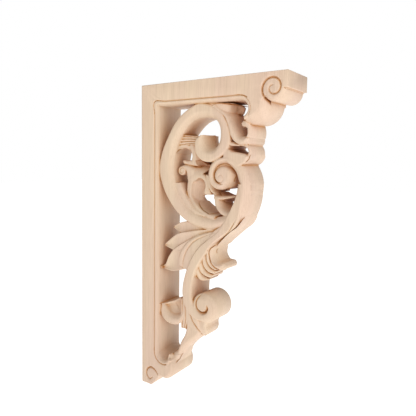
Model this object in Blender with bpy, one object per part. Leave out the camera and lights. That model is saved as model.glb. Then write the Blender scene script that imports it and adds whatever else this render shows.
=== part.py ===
"""Carved wooden corbel bracket: an L-shaped frame filled with a pierced scroll.

The back face lies on the wall (x = 0), the top face carries the shelf, and the
carving is the same on both sides of the mid-plane y = 0. The origin is at the
middle of the back face.

The carving is laid out on a full-size pattern in millimetres. On it, x is
measured out from the wall, z is measured down from the shelf and is negative,
and sink is how far a carved face lies below the side face of the frame.
"""

import bisect
import math

import bmesh
import bpy
import numpy as np
from mathutils import Vector

MM = 0.001

# Overall sizes
HEIGHT = 298.45 * MM
PROJECTION = 152.4 * MM
WIDTH = 38.1 * MM

# Frame: flat bands of the wall leg and of the top rail, with a bead inside them
LEG_BAND = 16.5 * MM
RAIL_BAND = 16.5 * MM
BEAD_WIDTH = 3.7 * MM
BEAD_DROP = 3.0 * MM

# Pattern that the carving is drawn on, in millimetres
PATTERN_HEIGHT = 298.45
PATTERN_PROJECTION = 152.4
PATTERN_BAND = 16.5
PATTERN_BEAD = 3.7
PATTERN_FOOT = 12.6
PATTERN_NOSE = 13.0

# Lines across the pattern, and the real lines of the frame that they stand for
PATTERN_X = (0.0, PATTERN_BAND, PATTERN_BAND + PATTERN_BEAD, PATTERN_PROJECTION)
PATTERN_Z = (0.0, PATTERN_BAND, PATTERN_BAND + PATTERN_BEAD, PATTERN_HEIGHT)
FRAME_X = (0.0, LEG_BAND, LEG_BAND + BEAD_WIDTH, PROJECTION)
FRAME_Z = (0.0, RAIL_BAND, RAIL_BAND + BEAD_WIDTH, HEIGHT)

# Ends of the bead: a pocket at the foot of the leg and a turn at the end of the rail
POCKET = (27.2, -262.0)
POCKET_RADIUS = 7.0
RAIL_END = (109.4, -27.0)
RAIL_END_RADIUS = 6.8

# Volute grooves of the end block and of the foot
SPIRAL_CENTER = (139.6, -12.6)
SPIRAL_START_RADIUS = 10.9
SPIRAL_END_RADIUS = 3.0
SPIRAL_START_ANGLE = -104.0
SPIRAL_TURN = -440.0
GROOVE_WIDTH = 1.8
GROOVE_DEPTH = 1.1
GROOVE_OVERLAP = 1.0

# How finely the carving is faceted
LONGEST_STEP = 14.0
TURN_STEP = math.radians(28)
SAMPLES_PER_STATION = 24
SHARP_ANGLE = math.radians(35)
MERGE_DISTANCE = 0.002 * MM

# Colour of the raw sanded hardwood
WOOD_COLOR = (0.66, 0.49, 0.36, 1.0)
WOOD_ROUGHNESS = 0.55


def along(value, pattern_lines, frame_lines):
    """Map a pattern length to the real frame, straight between each pair of lines."""
    last = len(pattern_lines) - 2
    index = min(max(bisect.bisect_right(pattern_lines, value) - 1, 0), last)
    start, end = pattern_lines[index:index + 2]
    real_start, real_end = frame_lines[index:index + 2]
    return real_start + (value - start) / (end - start) * (real_end - real_start)


def place(x, z, y):
    """Turn a pattern point and a distance from the mid-plane into metres."""
    real_x = along(x, PATTERN_X, FRAME_X)
    real_z = along(-z, PATTERN_Z, FRAME_Z)
    return Vector((real_x, y, HEIGHT / 2 - real_z))


def spline(stations):
    """Return a dense smooth run through rows of numbers, spaced by their mid-line."""
    rows = np.array(stations, dtype=float)
    middle = mid_line(rows)
    gaps = np.maximum(np.linalg.norm(np.diff(middle, axis=0), axis=1), 0.5)
    knots = np.concatenate([[0.0], np.cumsum(gaps)])
    slopes = np.gradient(rows, knots, axis=0)
    dense = []
    for index, gap in enumerate(gaps):
        last = index == len(gaps) - 1
        for share in np.linspace(0, 1, SAMPLES_PER_STATION, endpoint=last):
            square = share * share
            cube = square * share
            start = (2 * cube - 3 * square + 1) * rows[index]
            start_slope = (cube - 2 * square + share) * gap * slopes[index]
            end = (3 * square - 2 * cube) * rows[index + 1]
            end_slope = (cube - square) * gap * slopes[index + 1]
            dense.append(start + start_slope + end + end_slope)
    return np.array(dense)


def mid_line(rows):
    """Middle of each row's two edge points, or its single point."""
    if rows.shape[1] >= 4:
        return (rows[:, 0:2] + rows[:, 2:4]) / 2
    return rows[:, 0:2]


def thin_out(dense):
    """Keep rows so that neither the length nor the turn between them is large."""
    middle = mid_line(dense)
    steps = np.diff(middle, axis=0)
    lengths = np.linalg.norm(steps, axis=1)
    headings = np.unwrap(np.arctan2(steps[:, 1], steps[:, 0]))
    turns = np.abs(np.diff(headings, append=headings[-1]))
    cost = np.concatenate([[0.0], np.cumsum(lengths / LONGEST_STEP + turns / TURN_STEP)])
    count = max(2, math.ceil(cost[-1]) + 1)
    wanted = np.linspace(0, cost[-1], count)
    return np.array([
        [np.interp(value, cost, column) for column in dense.T]
        for value in wanted
    ])


def rounded(edge):
    """Section with both long edges eased by the same amount."""
    def section(width):
        side = min(edge / width, 0.4)
        return [(0, edge), (side, 0), (1 - side, 0), (1, edge)]
    return section


def sloped(edge, slope_width, slope_drop):
    """Section that is flat beside its outer edge and falls towards its inner edge."""
    def section(width):
        side = min(edge / width, 0.3)
        bevel = min(slope_width / width, 0.65)
        return [(0, edge), (side, 0), (1 - bevel, 0.15 * slope_drop), (1, slope_drop)]
    return section


def scooped(edge, depth):
    """Section that curves down from its outer edge to its inner edge."""
    def section(width):
        side = min(edge / width, 0.25)
        return [(0, edge), (side, 0), (0.5, 0.35 * depth), (0.8, 0.8 * depth), (1, depth)]
    return section


def channelled(edge, depth):
    """Section with a hollow down its middle, as a gouge leaves it."""
    def section(width):
        side = min(edge / width, 0.2)
        return [(0, edge), (side, 0), (0.5, depth), (1 - side, 0), (1, edge)]
    return section


def domed(radius, steps):
    """Section that rounds over to its outer edge and is flat inside."""
    def section(width):
        curve = []
        for step in range(steps + 1):
            angle = math.pi / 2 * step / steps
            across = min(radius * (1 - math.cos(angle)) / width, 0.9)
            curve.append((across, radius * (1 - math.sin(angle))))
        return curve + [(1, 0)]
    return section


def skin(rings, name):
    """Close a run of equal rings into one body with flat ends."""
    mesh = bmesh.new()
    loops = [[mesh.verts.new(point) for point in ring] for ring in rings]
    size = len(loops[0])
    for first, second in zip(loops, loops[1:]):
        for index in range(size):
            after = (index + 1) % size
            mesh.faces.new((first[index], first[after], second[after], second[index]))
    mesh.faces.new(list(reversed(loops[0])))
    mesh.faces.new(loops[-1])
    bmesh.ops.recalc_face_normals(mesh, faces=mesh.faces[:])
    if mesh.calc_volume(signed=True) < 0:
        bmesh.ops.reverse_faces(mesh, faces=mesh.faces[:])
    data = bpy.data.meshes.new(name)
    mesh.to_mesh(data)
    mesh.free()
    piece = bpy.data.objects.new(name, data)
    bpy.context.scene.collection.objects.link(piece)
    return piece


def strand(name, section, stations):
    """Smooth ribbon between two edges: rows are outer x, z, inner x, z and sink."""
    return sheet(name, section, thin_out(spline(stations)))


def sheet(name, section, rows):
    """Body between two edges, row by row, the same on both side faces."""
    rings = []
    for row in np.array(rows, dtype=float):
        outer = row[0:2]
        inner = row[2:4]
        half = WIDTH / 2 - row[4] * MM
        width = max(float(np.linalg.norm(inner - outer)), 0.2)
        near = []
        far = []
        for share, drop in section(width):
            x, z = outer + share * (inner - outer)
            depth = max(half - drop * MM, 0.4 * MM)
            near.append(place(x, z, -depth))
            far.append(place(x, z, depth))
        rings.append(near + far[::-1])
    return skin(rings, name)


def arc(center, radius, start, end, count):
    """Points on an arc; angles are in degrees, anticlockwise from +x."""
    angles = np.radians(np.linspace(start, end, count))
    return [
        (center[0] + radius * math.cos(angle), center[1] + radius * math.sin(angle))
        for angle in angles
    ]


def inset(outline, distance):
    """Move a closed anticlockwise outline inwards by a distance in millimetres."""
    points = np.array(outline, dtype=float)
    before = points - np.roll(points, 1, axis=0)
    after = np.roll(points, -1, axis=0) - points
    before /= np.linalg.norm(before, axis=1)[:, None]
    after /= np.linalg.norm(after, axis=1)[:, None]
    tangent = before + after
    tangent /= np.linalg.norm(tangent, axis=1)[:, None]
    normal = np.stack([-tangent[:, 1], tangent[:, 0]], axis=1)
    bend = np.maximum(np.einsum("ij,ij->i", tangent, after), 0.6)
    return points + normal * (distance / bend)[:, None]


def pad(name, outline, sink, dome, steps=2):
    """Block cut to an outline across the width, with domed faces."""
    rings = []
    half = WIDTH / 2 - sink * MM
    for side in (-1, 1):
        profile = []
        for step in range(steps + 1):
            angle = math.pi / 2 * step / steps
            move = dome * (1 - math.cos(angle))
            depth = half - dome * MM * (1 - math.sin(angle))
            profile.append((move, depth))
        if side < 0:
            profile.reverse()
        for move, depth in profile:
            moved = inset(outline, move)
            rings.append([place(x, z, side * depth) for x, z in moved])
    return skin(rings, name)


def groove(name, stations, section_width, depth, side):
    """V-shaped cutter along a line on one side face; rows are x, z and sink."""
    rows = thin_out(spline(stations))
    centre = rows[:, 0:2]
    heading = np.gradient(centre, axis=0)
    heading /= np.linalg.norm(heading, axis=1)[:, None]
    normal = np.stack([-heading[:, 1], heading[:, 0]], axis=1)
    rings = []
    for (x, z, sink), (across_x, across_z) in zip(rows, normal):
        face = WIDTH / 2 - sink * MM
        above = face + GROOVE_OVERLAP * MM
        reach = section_width / 2 * (1 + GROOVE_OVERLAP / depth)
        bottom = place(x, z, side * (face - depth * MM))
        left = place(x + across_x * reach, z + across_z * reach, side * above)
        right = place(x - across_x * reach, z - across_z * reach, side * above)
        rings.append([bottom, left, right])
    return skin(rings, name)


def union(target, pieces):
    """Join pieces to the target and keep only its outside surface."""
    for piece in pieces:
        combine(target, piece, "UNION")


def combine(target, tool, operation):
    """Combine two closed bodies into one and delete the tool."""
    modifier = target.modifiers.new(operation.title(), "BOOLEAN")
    modifier.operation = operation
    modifier.solver = "MANIFOLD"
    modifier.object = tool
    evaluated = target.evaluated_get(bpy.context.evaluated_depsgraph_get())
    result = bpy.data.meshes.new_from_object(evaluated)
    target.modifiers.clear()
    old = target.data
    target.data = result
    bpy.data.meshes.remove(old)
    tool_data = tool.data
    bpy.data.objects.remove(tool)
    bpy.data.meshes.remove(tool_data)


def scroll():
    """Large C-scroll: ring, with the volute at its lower end."""
    ring = [
        (78.5, -71.8, 80.8, -58.8, 2.5),
        (88.5, -68.0, 83.6, -57.0, 2.5),
        (97.0, -60.0, 86.0, -53.0, 2.5),
        (99.0, -49.8, 86.8, -47.0, 2.5),
        (95.5, -38.6, 85.9, -40.4, 2.5),
        (89.0, -29.0, 82.6, -35.2, 2.5),
        (78.5, -22.2, 75.6, -32.8, 2.5),
        (66.0, -19.6, 66.5, -32.5, 2.5),
        (53.0, -25.0, 57.6, -35.5, 2.5),
        (41.0, -33.8, 49.5, -42.1, 2.5),
        (30.4, -48.8, 42.0, -52.0, 2.5),
        (22.0, -66.0, 37.2, -64.5, 2.5),
        (19.6, -80.0, 35.4, -78.1, 2.5),
        (23.8, -95.0, 37.9, -92.3, 2.5),
        (31.9, -108.6, 44.4, -104.0, 2.5),
        (42.5, -119.9, 53.6, -113.1, 2.5),
        (56.0, -128.5, 64.7, -118.7, 2.5),
        (70.2, -132.5, 76.9, -121.0, 2.5),
        (85.3, -133.5, 89.1, -120.0, 2.5),
        (100.0, -127.0, 99.2, -115.3, 2.5),
        (111.5, -114.0, 105.3, -107.6, 2.5),
        (117.8, -99.0, 108.0, -98.0, 2.5),
        (118.2, -90.0, 108.0, -90.8, 2.5),
        (115.4, -80.5, 105.6, -83.0, 2.5),
    ]
    volute = [
        (109.8, -72.6, 101.0, -76.6, 2.5),
        (102.0, -68.3, 95.2, -72.8, 2.5),
        (93.4, -67.4, 89.2, -73.2, 2.5),
        (84.6, -69.6, 85.0, -75.4, 2.8),
        (78.8, -75.0, 82.8, -79.2, 3.0),
        (76.6, -82.6, 82.2, -83.4, 3.0),
        (78.4, -89.8, 83.6, -87.8, 3.0),
        (82.8, -94.4, 86.4, -90.2, 3.0),
        (89.0, -95.9, 89.8, -91.4, 3.0),
        (94.6, -94.4, 93.4, -90.4, 3.4),
        (98.8, -91.4, 96.2, -88.2, 4.4),
        (101.8, -87.0, 97.8, -85.4, 6.0),
    ]
    return strand("scroll", sloped(1.6, 5.0, 3.0), ring + volute)


def inner_hook():
    """Scooped hook at the upper end of the scroll."""
    return strand("inner_hook", scooped(1.4, 13.0), [
        (66.4, -48.0, 73.4, -47.6, 3.4),
        (62.6, -51.6, 73.4, -50.8, 2.8),
        (61.4, -57.2, 74.4, -54.6, 2.5),
        (63.0, -64.6, 76.0, -57.6, 2.5),
        (69.5, -70.4, 78.6, -58.8, 2.5),
        (78.5, -71.8, 80.8, -58.8, 2.5),
        (88.5, -68.0, 83.6, -57.0, 2.5),
    ])


def small_volute():
    """Eye of the scroll's lower volute, a cylinder with a domed face."""
    return pad("eye", arc((91.4, -83.6), 12.0, 0, 342, 20), 3.0, 5.0)


def outer_hook():
    """Scooped strand that leaves the ring at the top and curls over the first bead."""
    return [
        strand("outer_hook", scooped(1.2, 10.0), [
            (79.0, -23.4, 84.0, -21.6, 3.2),
            (88.0, -28.6, 93.0, -26.0, 3.0),
            (92.6, -33.0, 99.4, -30.4, 3.0),
            (95.6, -38.4, 101.8, -35.6, 3.0),
            (97.6, -43.6, 104.4, -40.6, 2.9),
            (99.6, -49.4, 107.2, -44.8, 2.8),
            (103.6, -54.2, 110.0, -47.8, 2.7),
            (109.4, -56.8, 112.0, -49.2, 2.6),
            (115.4, -54.4, 114.0, -48.2, 2.8),
        ]),
        strand("outer_knob", rounded(1.4), [
            (109.4, -56.8, 112.0, -49.2, 2.6),
            (115.4, -54.4, 114.0, -48.2, 2.8),
            (118.2, -48.6, 114.8, -45.8, 3.4),
            (118.2, -42.6, 114.2, -43.0, 4.0),
            (116.0, -37.8, 112.2, -42.0, 4.2),
            (111.8, -36.2, 110.4, -41.8, 4.4),
            (109.0, -38.0, 109.0, -40.6, 4.8),
        ]),
    ]


def lower_hook():
    """Arch between the second and third beads, with its root on the scroll."""
    root = [
        (98.0, -73.0),
        (106.0, -76.0),
        (114.0, -72.0),
        (117.0, -67.0),
        (112.0, -64.6),
        (106.0, -63.2),
        (98.0, -61.4),
        (93.4, -60.4),
        (92.0, -68.0),
    ]
    return [
        strand("lower_hook", rounded(1.0), [
            (99.0, -54.0, 98.4, -57.6, 4.0),
            (105.0, -55.6, 104.6, -57.8, 4.4),
            (111.0, -56.0, 110.6, -58.0, 4.8),
            (116.2, -57.8, 114.8, -59.6, 5.2),
            (118.3, -62.6, 116.0, -63.0, 5.2),
            (117.4, -68.4, 114.6, -66.2, 5.0),
            (112.0, -73.4, 109.0, -69.4, 4.4),
        ]),
        pad("hook_root", root, 3.0, 1.0, 1),
    ]


def middle_bead():
    """Small bead across the outer edge, between the two hooks."""
    outline = arc((112.6, -53.6), 4.6, -62, 62, 7) + [(108.0, -50.8), (108.0, -56.8)]
    return pad("middle_bead", outline, 4.4, 0.8, 1)


def top_leaf():
    """Leaf in the corner between the rail and the outer hook."""
    return strand("top_leaf", rounded(0.8), [
        (72.0, -20.0, 76.0, -23.5, 4.2),
        (82.0, -20.4, 84.0, -25.0, 4.4),
        (90.0, -21.0, 90.6, -27.4, 5.0),
        (96.4, -21.6, 95.6, -29.6, 7.0),
        (101.2, -22.4, 99.0, -29.9, 12.0),
        (104.6, -25.0, 103.0, -29.6, 16.6),
    ])


def stem():
    """S-shaped strand from the ring down to the lower volute."""
    return strand("stem", sloped(1.4, 2.0, 1.2), [
        (108.4, -92.0, 115.6, -92.0, 4.4),
        (107.8, -101.0, 115.4, -102.0, 2.3),
        (104.6, -110.6, 113.8, -113.6, 2.0),
        (97.5, -122.5, 108.4, -126.0, 2.0),
        (88.0, -133.0, 98.2, -136.4, 2.0),
        (77.6, -141.4, 86.6, -144.8, 2.0),
        (68.9, -148.7, 77.4, -152.6, 2.2),
        (60.8, -158.8, 70.4, -162.0, 2.4),
        (54.7, -170.9, 64.2, -172.4, 2.6),
        (50.4, -183.1, 60.6, -183.4, 2.8),
        (48.8, -193.4, 59.4, -193.2, 2.8),
        (49.6, -202.0, 60.0, -200.6, 2.8),
        (52.6, -209.8, 62.2, -206.4, 2.8),
        (58.6, -216.0, 65.6, -210.4, 2.8),
        (66.4, -219.4, 69.6, -212.8, 2.8),
        (75.4, -219.0, 73.8, -213.0, 3.2),
        (82.4, -213.8, 77.4, -210.6, 4.4),
        (85.0, -206.4, 78.8, -206.2, 6.0),
    ])


def lower_volute():
    """Roll at the foot of the stem, a cylinder with strongly domed faces."""
    return pad("roll", arc((72.6, -206.4), 14.0, 0, 342, 20), 3.4, 6.5, 3)


def husk():
    """Outer edge of the stem, with the lip that flares out below it."""
    return strand("husk", domed(4.4, 3), [
        (118.0, -91.0, 108.0, -90.0, 2.8),
        (117.6, -105.0, 110.0, -104.0, 2.6),
        (113.8, -117.0, 105.6, -114.6, 2.5),
        (107.4, -127.2, 98.0, -122.0, 2.5),
        (100.4, -132.8, 91.0, -128.0, 2.6),
        (90.6, -141.8, 82.0, -135.0, 2.8),
        (85.8, -147.0, 77.0, -142.6, 3.0),
        (83.6, -152.4, 78.4, -151.2, 3.0),
        (83.4, -157.4, 79.4, -158.4, 3.2),
        (85.6, -161.0, 81.6, -164.0, 3.4),
        (89.4, -162.2, 86.4, -167.8, 4.4),
        (92.4, -162.8, 91.2, -168.6, 5.6),
        (94.4, -165.0, 94.0, -166.8, 7.6),
    ])


def flutes():
    """Four feathers that overlap like tiles behind the husk."""
    feather = sloped(1.2, 3.2, 2.8)
    return [
        strand("flute_high", feather, [
            (77.6, -149.6, 81.4, -150.0, 3.4),
            (75.0, -155.6, 80.0, -156.0, 3.8),
            (75.6, -162.6, 81.0, -162.0, 4.6),
            (79.4, -167.8, 84.4, -166.6, 5.6),
            (83.4, -169.8, 86.6, -168.0, 6.6),
        ]),
        strand("flute_second", feather, [
            (73.8, -154.8, 77.4, -152.6, 3.8),
            (70.4, -161.8, 75.6, -160.4, 4.4),
            (72.4, -169.0, 77.6, -167.0, 5.4),
            (77.6, -173.0, 81.6, -170.4, 6.6),
            (81.6, -173.8, 83.0, -171.4, 7.6),
        ]),
        strand("flute_third", feather, [
            (69.4, -159.4, 73.0, -157.4, 4.2),
            (65.6, -166.8, 71.0, -165.4, 5.0),
            (67.4, -173.8, 73.0, -171.6, 6.2),
            (72.6, -177.4, 77.4, -174.4, 7.4),
            (77.0, -178.4, 79.4, -175.4, 8.4),
        ]),
        strand("flute_low", feather, [
            (65.4, -164.6, 69.0, -162.6, 4.6),
            (62.0, -172.4, 67.0, -171.0, 5.6),
            (62.8, -179.0, 68.6, -177.0, 7.0),
            (67.0, -182.4, 72.8, -179.6, 8.2),
            (73.0, -181.6, 75.4, -179.4, 9.2),
        ]),
    ]


def leaf():
    """Three-lobed leaf between the stem and the wall leg."""
    blade = channelled(0.9, 1.8)
    return [
        strand("lobe_high", blade, [
            (84.0, -130.0, 86.0, -136.0, 5.0),
            (68.0, -128.5, 68.0, -139.0, 5.6),
            (54.5, -127.4, 54.0, -141.6, 6.4),
            (44.0, -129.2, 45.0, -140.0, 7.0),
            (33.4, -134.6, 34.0, -135.6, 8.0),
        ]),
        strand("lobe_middle", blade, [
            (86.0, -131.0, 86.0, -137.0, 4.6),
            (70.0, -133.6, 70.0, -144.0, 4.8),
            (54.0, -136.8, 54.0, -154.0, 5.0),
            (40.0, -140.8, 44.0, -158.4, 5.2),
            (30.0, -148.0, 34.0, -156.6, 5.6),
            (24.0, -153.0, 25.0, -154.2, 6.2),
        ]),
        strand("lobe_low", blade, [
            (66.0, -138.0, 72.0, -144.0, 4.8),
            (50.0, -147.0, 60.0, -156.0, 5.0),
            (36.4, -155.8, 51.6, -168.0, 5.0),
            (29.8, -164.0, 44.0, -173.6, 5.2),
            (25.6, -172.0, 33.0, -178.0, 5.8),
            (20.8, -175.0, 21.6, -177.0, 6.8),
        ]),
        strand("leaf_rib", rounded(1.4), [
            (86.0, -133.0, 88.0, -137.0, 3.6),
            (70.4, -137.0, 75.0, -142.0, 3.8),
            (56.8, -143.6, 64.6, -149.0, 4.0),
            (47.9, -152.4, 57.0, -158.4, 4.2),
            (43.0, -162.4, 51.6, -168.0, 4.4),
            (42.0, -170.4, 49.6, -173.6, 5.4),
        ]),
    ]


def left_curl():
    """Scooped curl that ties the stem to the lower part of the wall leg."""
    return [
        strand("curl", scooped(1.2, 8.0), [
            (20.4, -213.0, 23.6, -212.6, 5.2),
            (20.2, -220.4, 29.0, -218.4, 4.4),
            (23.4, -226.6, 33.6, -221.0, 4.0),
            (30.4, -230.4, 38.6, -221.0, 4.0),
            (39.0, -230.6, 42.6, -219.0, 4.4),
            (46.4, -226.4, 45.4, -214.6, 5.0),
            (50.6, -216.0, 46.0, -208.0, 5.6),
            (51.0, -204.0, 46.0, -201.0, 5.6),
            (50.6, -196.0, 47.6, -194.0, 5.6),
        ]),
        strand("curl_floor", rounded(0.8), [
            (21.6, -215.2, 30.6, -219.2, 7.4),
            (29.0, -210.4, 36.0, -219.0, 8.6),
            (36.0, -207.6, 41.6, -217.6, 11.0),
            (43.0, -203.4, 46.6, -213.0, 13.0),
        ]),
        strand("curl_leaf", channelled(0.8, 1.2), [
            (52.0, -204.0, 45.4, -203.0, 5.4),
            (53.0, -214.0, 45.8, -213.0, 5.4),
            (52.6, -224.0, 45.6, -224.0, 5.8),
            (50.4, -232.6, 45.0, -232.8, 6.6),
        ]),
    ]


def tail():
    """Tapering tail from the lower volute to the foot, with its side leaf."""
    return [
        strand("tail", rounded(2.4), [
            (50.5, -208.0, 68.0, -212.0, 5.0),
            (51.0, -219.0, 69.0, -224.0, 5.6),
            (51.0, -231.0, 68.0, -235.0, 6.6),
            (48.0, -240.4, 59.6, -243.4, 7.6),
            (43.4, -248.0, 51.8, -250.6, 8.2),
            (41.0, -254.0, 47.4, -256.0, 8.2),
            (40.0, -260.0, 44.6, -261.6, 8.0),
            (38.0, -268.0, 42.6, -268.0, 7.6),
        ]),
        strand("side_leaf", channelled(0.8, 1.4), [
            (56.4, -213.0, 75.0, -212.0, 5.2),
            (59.6, -222.0, 74.4, -220.0, 5.6),
            (63.6, -227.6, 73.6, -225.4, 6.0),
            (66.4, -231.4, 74.8, -230.2, 6.6),
            (68.4, -234.2, 73.2, -234.2, 7.6),
            (69.4, -236.0, 70.4, -236.6, 9.0),
        ]),
    ]


def inner_carving():
    """Hooks and leaves inside the left half of the ring."""
    floor = [
        (53.0, -92.0),
        (53.0, -104.0),
        (63.0, -103.0),
        (69.6, -101.0),
        (71.5, -97.0),
        (71.5, -91.0),
        (66.0, -86.0),
        (57.0, -86.0),
    ]
    return [
        strand("web", channelled(0.6, 0.8), [
            (33.0, -46.4, 32.0, -59.4, 8.0),
            (44.0, -47.2, 43.0, -57.4, 8.4),
            (54.0, -48.0, 54.0, -56.2, 8.4),
            (66.0, -49.0, 66.0, -57.2, 7.0),
        ]),
        strand("high_curl", sloped(1.0, 2.0, 1.4), [
            (31.4, -67.0, 36.0, -67.2, 9.4),
            (34.6, -62.0, 38.0, -63.6, 9.2),
            (37.2, -58.2, 40.4, -61.0, 9.0),
            (41.4, -55.8, 43.2, -59.6, 9.0),
            (46.8, -55.4, 46.8, -59.6, 9.2),
            (52.6, -57.0, 50.4, -61.4, 9.4),
        ]),
        strand("high_arm", scooped(1.0, 5.0), [
            (49.4, -58.0, 60.0, -52.4, 9.2),
            (52.6, -61.8, 63.6, -57.4, 9.2),
            (54.2, -66.8, 65.6, -65.0, 9.4),
            (53.4, -71.2, 69.6, -71.0, 9.4),
            (56.0, -75.4, 75.0, -76.0, 9.6),
        ]),
        strand("high_tip", rounded(1.0), [
            (58.0, -70.6, 60.0, -75.6, 9.8),
            (51.6, -70.9, 51.4, -75.4, 9.8),
            (47.0, -71.2, 46.6, -74.8, 10.0),
            (43.8, -70.6, 43.2, -73.8, 10.2),
            (41.8, -71.2, 42.0, -72.6, 10.8),
        ]),
        strand("low_curl", domed(3.0, 2), [
            (38.4, -79.8, 42.2, -80.6, 9.6),
            (40.0, -77.0, 43.2, -79.6, 9.4),
            (43.8, -75.3, 45.6, -79.0, 9.2),
            (49.4, -75.0, 47.6, -80.6, 9.0),
            (57.0, -75.4, 48.6, -84.8, 9.0),
            (66.0, -75.8, 49.8, -89.6, 9.0),
            (75.0, -76.4, 58.0, -90.0, 9.0),
        ]),
        pad("low_eye", arc((42.2, -80.4), 4.4, 0, 324, 10), 9.2, 1.4, 1),
        pad("hook_floor", floor, 17.2, 0.2, 1),
        strand("stalk", scooped(1.2, 9.4), [
            (83.6, -123.6, 84.4, -119.0, 3.6),
            (75.6, -121.8, 77.0, -116.8, 4.6),
            (66.0, -119.0, 70.0, -114.2, 6.0),
            (56.8, -114.0, 65.6, -110.4, 7.6),
            (51.2, -107.4, 63.2, -105.6, 8.4),
            (49.0, -100.6, 62.4, -101.4, 8.6),
            (48.8, -94.6, 62.0, -98.0, 8.8),
            (49.7, -89.8, 61.6, -95.0, 8.8),
            (52.4, -85.6, 61.6, -92.6, 8.8),
            (57.4, -83.0, 62.4, -90.6, 8.8),
            (63.4, -82.4, 63.8, -89.8, 8.6),
            (68.8, -83.6, 65.6, -90.2, 8.5),
            (72.4, -87.4, 67.0, -92.0, 8.5),
            (73.6, -92.0, 67.6, -94.2, 8.5),
            (75.0, -97.0, 67.6, -98.6, 8.6),
            (76.4, -101.4, 69.2, -101.4, 9.0),
        ]),
        strand("ring_leaf", rounded(0.8), [
            (35.6, -92.0, 43.0, -91.6, 5.8),
            (41.2, -102.0, 48.0, -101.0, 5.6),
            (50.0, -111.8, 53.2, -107.4, 5.2),
            (60.0, -118.6, 61.0, -114.8, 4.8),
            (73.6, -121.8, 75.2, -118.8, 4.4),
        ]),
        strand("neck", scooped(1.2, 9.0), [
            (70.0, -83.0, 82.0, -86.0, 8.2),
            (72.0, -89.0, 82.2, -92.0, 8.2),
            (73.6, -94.0, 82.8, -96.0, 8.0),
            (76.0, -97.8, 85.0, -99.1, 7.6),
            (79.4, -100.8, 88.6, -101.2, 7.2),
            (81.0, -104.0, 92.0, -103.0, 7.0),
        ]),
        strand("cup", scooped(1.2, 9.0), [
            (81.0, -103.0, 91.0, -103.0, 6.8),
            (81.8, -106.0, 91.4, -105.6, 6.2),
            (83.0, -110.6, 92.0, -108.6, 5.8),
            (86.6, -115.4, 94.0, -110.8, 5.4),
            (92.6, -119.0, 97.4, -112.4, 5.0),
            (99.6, -119.4, 100.4, -112.0, 4.6),
            (106.0, -114.6, 103.4, -110.4, 4.2),
        ]),
        strand("cup_lip", rounded(0.8), [
            (80.8, -104.8, 81.4, -101.4, 6.8),
            (86.5, -105.0, 87.0, -101.8, 6.6),
            (92.8, -104.2, 93.0, -101.4, 6.6),
            (98.0, -103.0, 98.0, -101.0, 6.8),
            (102.6, -101.8, 102.4, -100.8, 7.4),
        ]),
    ]


def bands():
    """Flat bands of the wall leg and the top rail, with the foot and the nose."""
    outline = [
        (0.0, 0.0),
        (0.0, -PATTERN_HEIGHT),
        (PATTERN_FOOT, -PATTERN_HEIGHT),
        (17.4, -293.4),
        (21.6, -288.0),
        (25.0, -285.0),
        (31.0, -283.0),
        (35.6, -276.0),
        (35.4, -269.6),
    ]
    outline += arc(POCKET, POCKET_RADIUS + PATTERN_BEAD, -40, -180, 7)
    outline += [(PATTERN_BAND, -PATTERN_BAND)]
    outline += arc(RAIL_END, RAIL_END_RADIUS + PATTERN_BEAD, 90, -45, 7)
    outline += [
        (121.4, -33.2),
        (127.0, -28.0),
        (130.0, -21.0),
        (137.0, -14.0),
        (PATTERN_PROJECTION, -PATTERN_NOSE),
        (PATTERN_PROJECTION, 0.0),
    ]
    return pad("corbel_bracket", outline, 0.0, 0.0, 1)


def bead():
    """Quarter-round bead inside the bands, mitred in the corner of the frame."""
    under = 0.4
    reach = PATTERN_BEAD + under
    rim = PATTERN_BAND + PATTERN_BEAD
    groove_line = arc(POCKET, POCKET_RADIUS + reach, -24, -180, 8)
    rim_line = arc(POCKET, POCKET_RADIUS, -24, -180, 8)
    groove_line.append((PATTERN_BAND - under, under - PATTERN_BAND))
    rim_line.append((rim, -rim))
    groove_line += arc(RAIL_END, RAIL_END_RADIUS + reach, 90, -62, 8)
    rim_line += arc(RAIL_END, RAIL_END_RADIUS, 90, -62, 8)

    def section(width):
        drop = BEAD_DROP / MM
        return [(0, 1.0), (0.22, 0.1), (0.6, 0.14 * drop), (0.86, 0.5 * drop), (1, drop)]
    return sheet("bead", section, lobe_rows(groove_line, rim_line))


def lobes():
    """Rounded lobes at the outer end of the rail and at the foot of the leg."""
    large_outer = arc((119.0, -23.0), 17.0, -116, 8, 9)
    large_inner = arc(RAIL_END, RAIL_END_RADIUS + PATTERN_BEAD, -64, 52, 9)
    foot_outer = [
        (22.0, -284.0),
        (25.6, -286.6),
        (30.4, -287.2),
        (35.4, -285.0),
        (39.0, -280.6),
        (40.3, -274.4),
        (39.4, -268.6),
        (36.6, -263.4),
    ]
    foot_inner = arc((27.2, -270.0), 5.0, -110, 20, 7) + [(34.0, -264.6)]
    small = arc((140.0, -13.0), 10.0, -150, 0, 9)
    small += [(149.0, -6.0), (132.0, -6.0)]
    return [
        sheet("large_lobe", domed(6.0, 3), lobe_rows(large_outer, large_inner)),
        sheet("foot_lobe", domed(3.0, 2), lobe_rows(foot_outer, foot_inner)),
        pad("small_lobe", small, 0.0, 1.6, 1),
    ]


def lobe_rows(outer, inner):
    """Rows between two edges whose face is level with the side of the frame."""
    return [
        (*outer_point, *inner_point, 0.0)
        for outer_point, inner_point in zip(outer, inner)
    ]


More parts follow.
